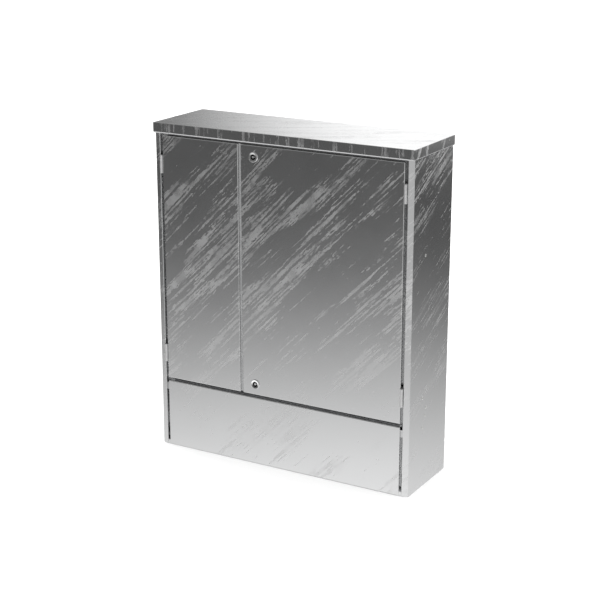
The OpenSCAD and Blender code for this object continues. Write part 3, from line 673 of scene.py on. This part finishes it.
def ceramic_block(low, high):
    block = cube_between((low[0], low[1] + lug_t, low[2]), high)
    round_edges(block, corner_w, corner_steps)
    pick_faces(block, lambda face: face.normal.y < -same_way)
    bpy.ops.mesh.inset(thickness=panel_in)
    bpy.ops.mesh.inset(thickness=panel_slope)
    bpy.ops.transform.translate(value=(0, panel_deep, 0))
    bpy.ops.object.mode_set(mode="OBJECT")
    round_edges(block, edge_w, edge_steps)
    return block


def gripping_lug(low, high, at_top):
    middle_x = (low[0] + high[0]) / 2
    centre_z = high[2] - lug_t if at_top else low[2] + lug_t
    near = (middle_x - lug_w / 2, low[1], centre_z - lug_t / 2)
    far = (middle_x + lug_w / 2, low[1] + lug_t + lug_sunk, centre_z + lug_t / 2)
    lug = cube_between(near, far)
    pick_faces(lug, lambda face: abs(face.normal.z) > same_way)
    bpy.ops.mesh.inset(thickness=lug_inset, use_individual=True)
    bpy.ops.object.mode_set(mode="OBJECT")
    round_edges(lug, lug_round, lug_steps)
    return lug


for number in ("1", "2", "3"):
    node = "fuse_links_" + number
    boxes = solids_of(node)
    blocks = joined([ceramic_block(low, high) for low, high in boxes])
    hand_over(blocks, "fuse_bodies_" + number, node)
    lugs = joined([gripping_lug(low, high, top) for low, high in boxes for top in (True, False)])
    hand_over(lugs, "fuse_lugs_" + number, node)
    lugs.data.materials[0] = plated
    print(node, "links:", len(boxes))

# %% [markdown]
# ## Light that polished sheet can mirror
# Bare metal shows its surroundings and little else. In a studio the surroundings are the dark floor of
# the room, pale near the subject, and large soft boxes. They could be built as panels; here they are
# painted on the sky sphere by direction, which is smooth and cheap: dark a little below the horizon,
# brighter further down, a wide soft box on the right from just below the horizon upwards, and a second
# one low beside the camera. The camera itself sees plain white behind the cabinet.

# %% World
world = bpy.data.worlds.new("studio")
world.use_nodes = True
bpy.context.scene.world = world
sky = world.node_tree
sky.nodes.clear()
toward = put(sky, "TexCoord", {}, {}).outputs["Generated"]
height = put(sky, "SeparateXYZ", {}, {0: toward}).outputs[2]


def sky_curve(points):
    ramp = put(sky, "ValToRGB", {}, {0: calc(sky, "MULTIPLY_ADD", height, 0.5, 0.5)})
    for position, level in points:
        stop = ramp.color_ramp.elements.new((position + 1) / 2)
        stop.color = (level, level, level, 1)
    ramp.color_ramp.elements.remove(ramp.color_ramp.elements[0])
    ramp.color_ramp.elements.remove(ramp.color_ramp.elements[-1])
    return ramp.outputs[0]


studio_levels = [
    (-0.99, 0.65), (-0.6, 0.8), (-0.5, 1.25), (-0.42, 1.2), (-0.407, 1.13), (-0.391, 1.01),
    (-0.375, 0.89), (-0.358, 0.76), (-0.342, 0.64), (-0.326, 0.53), (-0.309, 0.38), (-0.292, 0.28),
    (-0.276, 0.21), (-0.259, 0.15),
    (-0.242, 0.12), (-0.2, 0.105), (-0.1, 0.11), (0.0, 0.16), (0.1, 0.32), (0.5, 0.3), (0.99, 0.35),
]
base_level = sky_curve(studio_levels)


def nearness(azimuth_deg, elevation_deg):
    azimuth, elevation = math.radians(azimuth_deg), math.radians(elevation_deg)
    flat = math.cos(elevation)
    centre = (math.cos(azimuth) * flat, math.sin(azimuth) * flat, math.sin(elevation))
    return put(sky, "VectorMath", {"operation": "DOT_PRODUCT"}, {0: toward, 1: centre}).outputs["Value"]


def fade(value, from_deg, to_deg):
    return step(sky, value, math.cos(math.radians(from_deg)), math.cos(math.radians(to_deg)))


box_azimuth, box_fade, box_power = 68, (60.6, 48.9), 1.27
box_foot = (-0.205, -0.12)
dim_fade, dim_share = (75, 50), 0.2
low_azimuth, low_elevation, low_fade, low_power = -60, -10, (61, 20), 0.6

behind = nearness(box_azimuth, 0)
side_dim = calc(sky, "MULTIPLY", fade(behind, *dim_fade), dim_share)
dimmed_level = calc(sky, "MULTIPLY", base_level, calc(sky, "SUBTRACT", 1.0, side_dim))
box_width = fade(behind, *box_fade)
box_height = step(sky, height, *box_foot)
box_level = calc(sky, "MULTIPLY", calc(sky, "MULTIPLY", box_width, box_height), box_power)
low_box = fade(nearness(low_azimuth, low_elevation), *low_fade)
low_level = calc(sky, "MULTIPLY", low_box, low_power)
level = calc(sky, "MAXIMUM", calc(sky, "MAXIMUM", dimmed_level, low_level), box_level)
seen = put(sky, "LightPath", {}, {}).outputs["Is Camera Ray"]
shown = mix_number(sky, seen, level, 1.0)
backdrop = put(sky, "Background", {}, {"Color": shown, "Strength": 1.0})
put(sky, "OutputWorld", {}, {"Surface": backdrop.outputs[0]})
print("world:", world.name)

# %% [markdown]
# ## Floor and lamps
# A plain pale floor, far wider than the view, and two broad suns that draw soft shadows under the
# cabinet. Floor and lamps are hidden from glossy rays, so the metal mirrors only the painted studio.

# %% Floor, lamps and camera
floor_r, floor_z = 80, -0.0005
bpy.ops.object.select_all(action="DESELECT")
bpy.ops.mesh.primitive_circle_add(vertices=96, radius=floor_r, fill_type="NGON", location=(0, 0, floor_z))
floor = bpy.context.object
floor.name = "studio_floor"
floor.visible_glossy = False
paper, paper_tree, paper_shader = start_finish("paper", 0.0, 0.9)
paper_point = put(paper_tree, "TexCoord", {}, {}).outputs["Object"]
fibres = noise(paper_tree, paper_point, 60.0, 3.0, 0.6)
paper_colour = mix_colour(paper_tree, fibres, grey(0.93), grey(0.96))
paper_tree.links.new(paper_colour, paper_shader.inputs["Base Color"])
floor.data.materials.append(paper)


def broad_sun(name, azimuth_deg, elevation_deg, power, angle_deg):
    lamp = bpy.data.lights.new(name, "SUN")
    lamp.energy = power
    lamp.angle = math.radians(angle_deg)
    hung = bpy.data.objects.new(name, lamp)
    hung.rotation_euler = (math.radians(90 - elevation_deg), 0, math.radians(azimuth_deg + 90))
    hung.visible_glossy = False
    bpy.context.scene.collection.objects.link(hung)
    return hung


broad_sun("key_sun", azimuth_deg=-50, elevation_deg=60, power=2.4, angle_deg=70)
broad_sun("fill_sun", azimuth_deg=150, elevation_deg=55, power=2.0, angle_deg=90)

camera_data = bpy.data.cameras.new("camera")
camera_data.lens = 90.0
camera_data.sensor_width = 36.0
camera_data.clip_end = 500.0
camera = bpy.data.objects.new("camera", camera_data)
camera.location = (1.9516, -3.4013, 1.6492)
camera.rotation_euler = (math.radians(73.07), 0, math.radians(29.87))
bpy.context.scene.collection.objects.link(camera)
bpy.context.scene.camera = camera
bpy.context.scene.view_settings.view_transform = "Standard"
print("camera at", tuple(camera.location))
